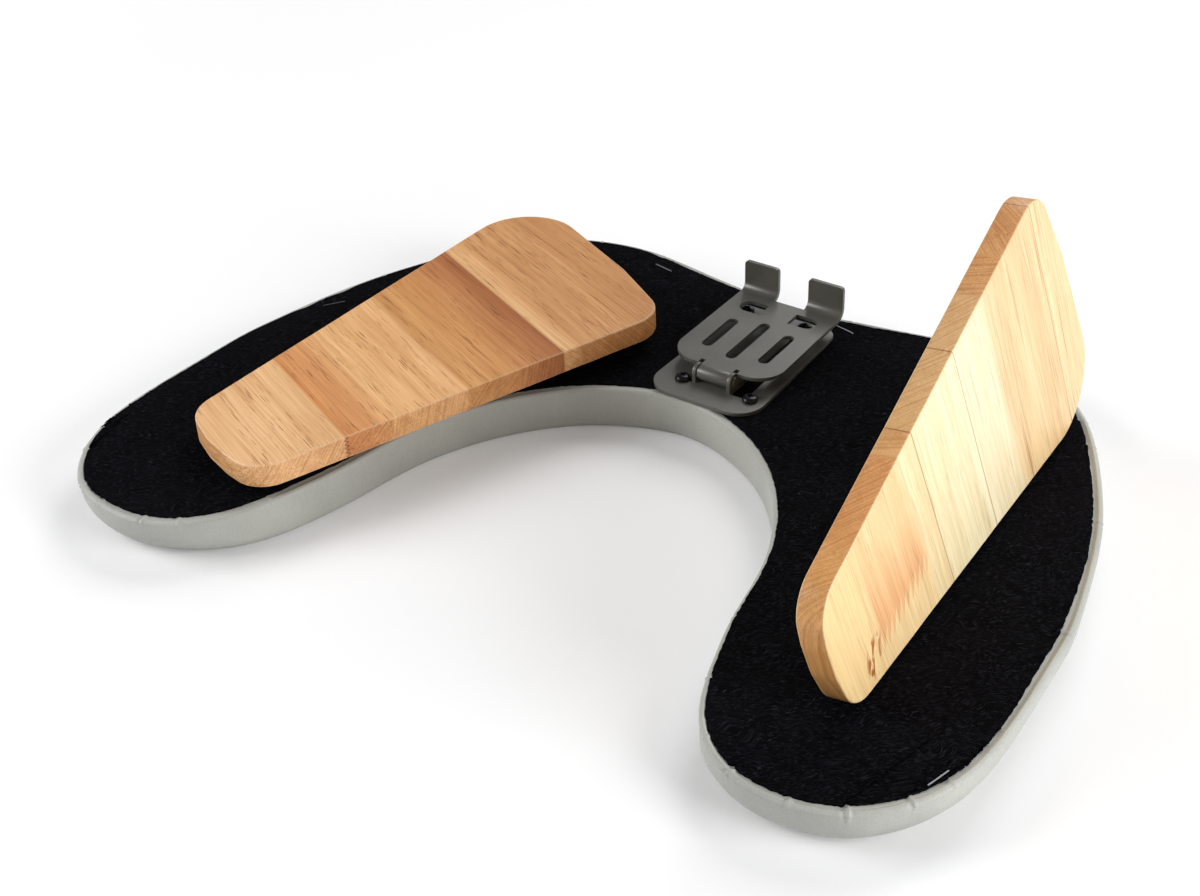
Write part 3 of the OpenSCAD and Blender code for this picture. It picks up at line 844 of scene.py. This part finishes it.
def right_features(tree, at, colour):
    """A redder piece with a comb of spikes below it, glued seams, and scorch marks."""
    border = add(tree, "Math", {0: at["s"], 1: -0.3, 2: at["t"]}, operation="MULTIPLY_ADD")
    comb = add(tree, "Math", {0: zigzag(tree, at["s"], 2.3), 1: 12.0, 2: border},
               operation="MULTIPLY_ADD")
    above_comb = add(tree, "MapRange", {0: comb, 1: 42.0, 2: 43.0})
    fading = add(tree, "MapRange", {0: at["t"], 1: 28.0, 2: 60.0, 3: 1.0, 4: 0.25})
    red = add(tree, "Math", {0: above_comb, 1: within(tree, at["u"], -72.0, -24.0, 2.0)},
              operation="MULTIPLY")
    red = add(tree, "Math", {0: red, 1: fading}, operation="MULTIPLY")
    colour = tinted(tree, red, colour, (0.93, 0.70, 0.64))
    for seam in (-9.0, 38.0, 130.0):
        thin = within(tree, at["u"], seam - 0.3, seam + 0.3, 0.25)
        colour = tinted(tree, thin, colour, (0.50, 0.34, 0.22))
    place = add(tree, "CombineXYZ", {0: at["t"], 1: at["s"], 2: at["z"]})
    flecks = add(tree, "VectorMath", {0: place, 1: (1 / 8, 1 / 2.2, 1 / 3)}, operation="MULTIPLY")
    flecks = add(tree, "TexNoise", {"Vector": flecks, "Scale": 1.0, "Detail": 1.0})
    scorch = add(tree, "MapRange", {0: flecks, 1: 0.54, 2: 0.60})
    for axis, low, high, soft in (("t", 3.0, 22.0, 2.0), ("s", -92.0, -80.0, 1.5)):
        scorch = add(tree, "Math", {0: scorch, 1: within(tree, at[axis], low, high, soft)},
                     operation="MULTIPLY")
    return tinted(tree, scorch, colour, (0.52, 0.24, 0.12))


# %% The two wings
left_staves = [(-140, "#ebc295", "#e8be8f"), (-48, "#d0905a", "#dfac78"), (-20, "#e6b883", "#e8b987"),
               (25, "#d6a46b", "#d19b62"), (44, "#d29b62", "#d29a62"), (57, "#c98f5a", "#ac6e42"),
               (85, "#e4b988", "#dcab78"), (97, "#d2a06d", "#c08a58")]
# painted light: the right wing's staves are much paler than the left wing's, standing in for the strong
# light of the right lamp on its outer face; the change from stave to stave is the wood's own
right_staves_painted_light = [(-140, "#f8dda6", "#f7daa2"), (-76, "#f8dba6", "#f8dca8"), (-24, "#f8e6b8", "#f4dcac"),
                (-9, "#f9edc2", "#f9efca"), (38, "#faf0ce", "#f9eac4"), (72, "#f3d8aa", "#f2d29e"),
                (96, "#f7deae", "#efcf9c"), (111, "#edcb98", "#f1d2a0"), (130, "#f5dcac", "#f1d6a2")]
left_drawn = {"gain": 1.2, "streaks": 0.8, "pores": 0.9, "lines": 0.6, "far_lines": 0.7}
right_drawn = {"gain": 0.99, "streaks": 0.5, "pores": 0.3, "lines": 0.45, "far_lines": 1.0}
left_wood = rubberwood("rubberwood_left", 1, 0.42, left_staves, left_drawn, (1.0, 0.93, 0.86),
                       left_features)
right_wood_painted_light = rubberwood("rubberwood_right_painted_light", -1, 0.36, right_staves_painted_light, right_drawn, (0.86, 0.60, 0.42),
                        right_features)
wing_board("left_wing_board", "left_wing", "left_wing_fold", left_wood, 21)
wing_board("right_wing_board", "right_wing", "right_wing_fold", right_wood_painted_light, 22)

# %% [markdown]
# ## Metal parts
# The hinges, the bracket and the staples are already right in the frame, down to each hole. All
# they lack is what a press and a tumbler leave: slightly rounded edges. Modifiers can give that
# without touching the frame's mesh: weld the triangles together, dissolve the flat ones, and
# bevel what is still sharp.

# %% Ease the edges of frame parts
def eased(node, width, material):
    """Round a CAD node's sharp edges by width and give it a material."""
    made = frame["nodes"][node]
    weld = made.modifiers.new("weld", "WELD")
    weld.merge_threshold = 0.002 * MM
    flatten = made.modifiers.new("flatten", "DECIMATE")
    flatten.decimate_type = "DISSOLVE"
    flatten.angle_limit = math.radians(1.0)
    bevel = made.modifiers.new("ease", "BEVEL")
    bevel.width = width
    bevel.segments = 3
    bevel.limit_method = "ANGLE"
    bevel.angle_limit = math.radians(35)
    bevel.harden_normals = False
    made.data.materials.clear()
    made.data.materials.append(material)


# %% [markdown]
# ### Metal finishes
# Powder coat is sprayed on as dust and baked, so it lies in a faint orange peel and is satin,
# never mirror smooth. Hinges and staples are bare plated steel, with the fine lines that
# rolling leaves. The screws are blackened and oiled, which is dark and glossy.

# %% Metal materials
def powder_coat():
    """Baked satin paint: a brownish dark grey with an orange peel 0.7 mm across."""
    material, tree, shader = new_material("powder_coat_gunmetal")
    where = millimetres(tree)
    peel = add(tree, "TexNoise", {"Vector": where, "Scale": 1 / 0.7, "Detail": 2.0})
    cloud = add(tree, "TexNoise", {"Vector": where, "Scale": 1 / 14, "Detail": 3.0})
    tone = add(tree, "ValToRGB", {0: cloud}, stops=[(0.3, linear("#50504a")), (0.7, linear("#595852"))])
    rough = add(tree, "MapRange", {0: cloud, 3: 0.30, 4: 0.38})
    bump = add(tree, "Bump", {"Height": peel, "Distance": 0.02 * MM, "Strength": 0.6})
    feed(shader, {"Base Color": tone, "Roughness": rough, "Specular IOR Level": 0.75, "Normal": bump})
    return material


def plated_steel(name, colour, roughness, lines):
    """Rolled and plated steel; lines is the spacing of its rolling lines in mm."""
    material, tree, shader = new_material(name)
    where = millimetres(tree)
    drawn = add(tree, "VectorMath", {0: where, 1: (1 / lines, 1 / 20, 1 / lines)}, operation="MULTIPLY")
    line = add(tree, "TexNoise", {"Vector": drawn, "Scale": 1.0, "Detail": 2.0})
    stain = add(tree, "TexNoise", {"Vector": where, "Scale": 1 / 6, "Detail": 3.0})
    tone = add(tree, "ValToRGB", {0: stain}, stops=[(0.3, linear(colour[0])), (0.7, linear(colour[1]))])
    rough = add(tree, "MapRange", {0: line, 3: roughness - 0.08, 4: roughness + 0.1})
    bump = add(tree, "Bump", {"Height": line, "Distance": 0.01 * MM, "Strength": 0.4})
    feed(shader, {"Base Color": tone, "Metallic": 1.0, "Roughness": rough, "Normal": bump})
    return material


def black_oxide():
    """Blackened and oiled steel: near black, with the gloss of the oil in patches."""
    material, tree, shader = new_material("black_oxide")
    oil = add(tree, "TexNoise", {"Vector": millimetres(tree), "Scale": 1 / 1.5, "Detail": 3.0})
    tone = add(tree, "ValToRGB", {0: oil}, stops=[(0.3, linear("#08080a")), (0.7, linear("#101012"))])
    rough = add(tree, "MapRange", {0: oil, 3: 0.22, 4: 0.36})
    feed(shader, {"Base Color": tone, "Roughness": rough, "Specular IOR Level": 0.3})
    return material


coat = powder_coat()
steel = plated_steel("nickel_plated_steel", ("#b9b4a6", "#c6c2b6"), 0.34, 0.3)
wire = plated_steel("galvanised_wire", ("#6c6e72", "#808286"), 0.4, 0.2)
hinge_parts = [f"{side}_{end}_{part}" for side in ("left", "right") for end in ("front", "rear")
               for part in ("board_leaf", "wing_leaf", "pin")]
for node in hinge_parts:
    eased(node, 0.12 * MM, steel)
for node in ("bracket_base", "bracket_plate"):
    eased(node, 0.28 * MM, coat)
eased("bracket_pin", 0.25 * MM, coat)
eased("staples", 0.15 * MM, wire)
print("eased:", len(hinge_parts) + 4, "frame parts")

# %% [markdown]
# ## Screws
# A screw head says a lot at its size: a smooth dome or a flat cone, with a cross recess that a
# driver fits. One screw is turned on a lathe, which is a profile spun round its axis, and the
# cross is cut out of it with a boolean. Copies then stand wherever the frame has a screw.

# %% Turn one screw and set it in its places
def lathe(profile, sides=40):
    """Points and faces of a profile of (radius, height) spun round z, closed at both ends."""
    turns = [2 * math.pi * i / sides for i in range(sides)]
    points = [(0, 0, profile[0][1])]
    for radius, z in profile:
        points += [(radius * math.cos(a), radius * math.sin(a), z) for a in turns]
    points.append((0, 0, profile[-1][1]))
    end = len(points) - 1
    faces = []
    for i in range(sides):
        j = (i + 1) % sides
        faces.append((0, 1 + j, 1 + i))
        faces.append((end, end - sides + i, end - sides + j))
    return points, faces + bands(len(profile), sides, 1)


def loose_mesh(name, points, faces):
    """A bare mesh object that is only used to build another."""
    mesh = bpy.data.meshes.new(name)
    mesh.from_pydata([tuple(p) for p in points], [], faces)
    made = bpy.data.objects.new(name, mesh)
    bpy.context.scene.collection.objects.link(made)
    return made


def cross_cutter(width, reach, low, high):
    """Two crossed bars, narrower at the bottom, that cut a cross recess."""
    points, faces = [], []
    for long_x in (True, False):
        first = len(points)
        for z, share in ((low, 0.45), (high, 1.0)):
            a, b = reach * share, width * (0.7 + 0.3 * share)
            for p, q in ((-a, -b), (a, -b), (a, b), (-a, b)):
                points.append((p, q, z) if long_x else (-q, p, z))
        faces += [tuple(first + i for i in f) for f in
                  ((3, 2, 1, 0), (4, 5, 6, 7), (0, 1, 5, 4), (1, 2, 6, 5), (2, 3, 7, 6), (3, 0, 4, 7))]
    return loose_mesh("cross_cutter", points, faces)


def recessed_screw(profile, width, reach, depth):
    """The mesh of one lathe-turned screw with its cross recess cut."""
    top = profile[-1][1]
    blank = loose_mesh("screw_blank", *lathe(profile))
    cutter = cross_cutter(width, reach, top - depth, top + 1 * MM)
    cut = blank.modifiers.new("cross", "BOOLEAN")
    cut.operation = "DIFFERENCE"
    cut.object = cutter
    cut.solver = "EXACT"
    cut.use_self = True
    bpy.context.view_layer.update()
    mesh = bpy.data.meshes.new_from_object(blank.evaluated_get(bpy.context.evaluated_depsgraph_get()))
    for spare in (blank, cutter):
        bpy.data.objects.remove(spare)
    points = np.array([v.co for v in mesh.vertices])
    faces = [tuple(f.vertices) for f in mesh.polygons]
    bpy.data.meshes.remove(mesh)
    return points, faces


spins = random.Random(3)


def set_screws(name, node, up, body, material, screw):
    """Stand copies of a screw in each place where the CAD node has one, heads along up."""
    points, faces = screw
    up = Vector(up).normalized()
    side = up.orthogonal().normalized()
    all_points, all_faces = [], []
    for part in loose_parts(node):
        heights = part @ np.array(up)
        head = part[heights > heights.max() - 0.03 * MM].mean(axis=0)
        across = Matrix.Rotation(spins.uniform(0, math.pi / 2), 3, up) @ side
        basis = np.array([across, up.cross(across), up])
        all_faces += [tuple(len(all_points) + i for i in f) for f in faces]
        all_points += list(points @ basis + head)
    made = piece(name, all_points, all_faces, material, body)
    made.data.set_sharp_from_angle(angle=math.radians(38))
    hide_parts(node)


# profiles in mm, from the tip up; the top of each head is at 0
PAN_HIGH, PAN_RADIUS = 2.6, 4.0
pan = [(1.6, -PAN_HIGH - 8), (1.6, -PAN_HIGH), (3.9, -PAN_HIGH)]
pan += [(PAN_RADIUS * math.cos(a) ** 0.55, -PAN_HIGH + 0.5 + 2.1 * math.sin(a))
        for a in np.radians(np.linspace(0, 84, 11))]
pan.append((0.2, 0))
countersunk = [(0.3, -8.4), (1.3, -6.4), (1.3, -1.1), (2.4, -0.1), (2.45, -0.05), (2.35, 0), (0.2, 0)]
pan_screw = recessed_screw([(r * MM, z * MM) for r, z in pan], 0.5 * MM, 2.3 * MM, 1.7 * MM)
flat_screw = recessed_screw([(r * MM, z * MM) for r, z in countersunk], 0.3 * MM, 1.5 * MM, 1.1 * MM)
UP = (0, 0, 1)
set_screws("bracket_pan_screws", "bracket_screws", UP, "pad", black_oxide(), pan_screw)
set_screws("board_leaf_screws", "hinge_board_screws", UP, "pad", steel, flat_screw)
for side in ("left", "right"):
    out_of_wing = -wing_frame(f"{side}_wing_fold").col[2].to_3d()
    set_screws(f"{side}_wing_leaf_screws", f"{side}_wing_screws", out_of_wing, f"{side}_wing",
               steel, flat_screw)

# %% [markdown]
# ## Hidden layers
# Foam and plywood are closed in on all sides, but an exploded view or a cut would show them, so
# they get honest materials too: open-cell foam with its bubbles, and birch plywood with plies
# of crossed grain and dark glue lines.

# %% Foam and plywood
def open_cell_foam():
    """Polyurethane foam: cream, dull, with bubbles 0.9 mm across."""
    material, tree, shader = new_material("open_cell_foam")
    cells = add(tree, "TexVoronoi", {"Vector": millimetres(tree), "Scale": 1 / 0.9},
                feature="DISTANCE_TO_EDGE")
    wall = add(tree, "MapRange", {0: cells, 2: 0.18})
    tone = add(tree, "ValToRGB", {0: wall}, stops=[(0.0, linear("#e2dabc")), (1.0, linear("#c4ba96"))])
    bump = add(tree, "Bump", {"Height": wall, "Distance": 0.3 * MM, "Strength": 0.8}, invert=True)
    feed(shader, {"Base Color": tone, "Roughness": 0.95, "Normal": bump})
    return material


def birch_plywood(thickness, plies):
    """Pale veneers of crossed grain, each with a dark line of glue under it."""
    material, tree, shader = new_material("birch_plywood")
    where = millimetres(tree)
    height = add(tree, "SeparateXYZ", {0: where}).outputs["Z"]
    ply = add(tree, "Math", {0: height, 1: plies / thickness}, operation="MULTIPLY")
    number = add(tree, "Math", {0: ply}, operation="FLOOR")
    turned = add(tree, "Math", {0: number, 1: 2.0}, operation="MODULO")
    one = add(tree, "VectorMath", {0: where, 1: (1 / 40, 1 / 1.2, 1)}, operation="MULTIPLY")
    two = add(tree, "VectorMath", {0: where, 1: (1 / 1.2, 1 / 40, 1)}, operation="MULTIPLY")
    lie = add(tree, "Mix", {"Factor": turned, "A": one, "B": two}, data_type="VECTOR")
    grain = add(tree, "TexNoise", {"Vector": lie, "Scale": 1.0, "Detail": 3.0})
    tone = add(tree, "ValToRGB", {0: grain}, stops=[(0.3, linear("#c9a26c")), (0.7, linear("#dfc092"))])
    place = add(tree, "Math", {0: ply}, operation="FRACT")
    glue = add(tree, "Math", {0: place, 1: 0.08}, operation="LESS_THAN")
    colour = add(tree, "Mix", {"Factor": glue, "A": tone, "B": linear("#7a5632")}, data_type="RGBA")
    bump = add(tree, "Bump", {"Height": grain, "Distance": 0.08 * MM, "Strength": 0.6})
    feed(shader, {"Base Color": colour, "Roughness": 0.7, "Normal": bump})
    return material


for node, material in (("foam_pad", open_cell_foam()), ("base_board", birch_plywood(7.0, 5))):
    hidden = frame["nodes"][node]
    hidden.data.materials.clear()
    hidden.data.materials.append(material)
print("hidden layers finished")
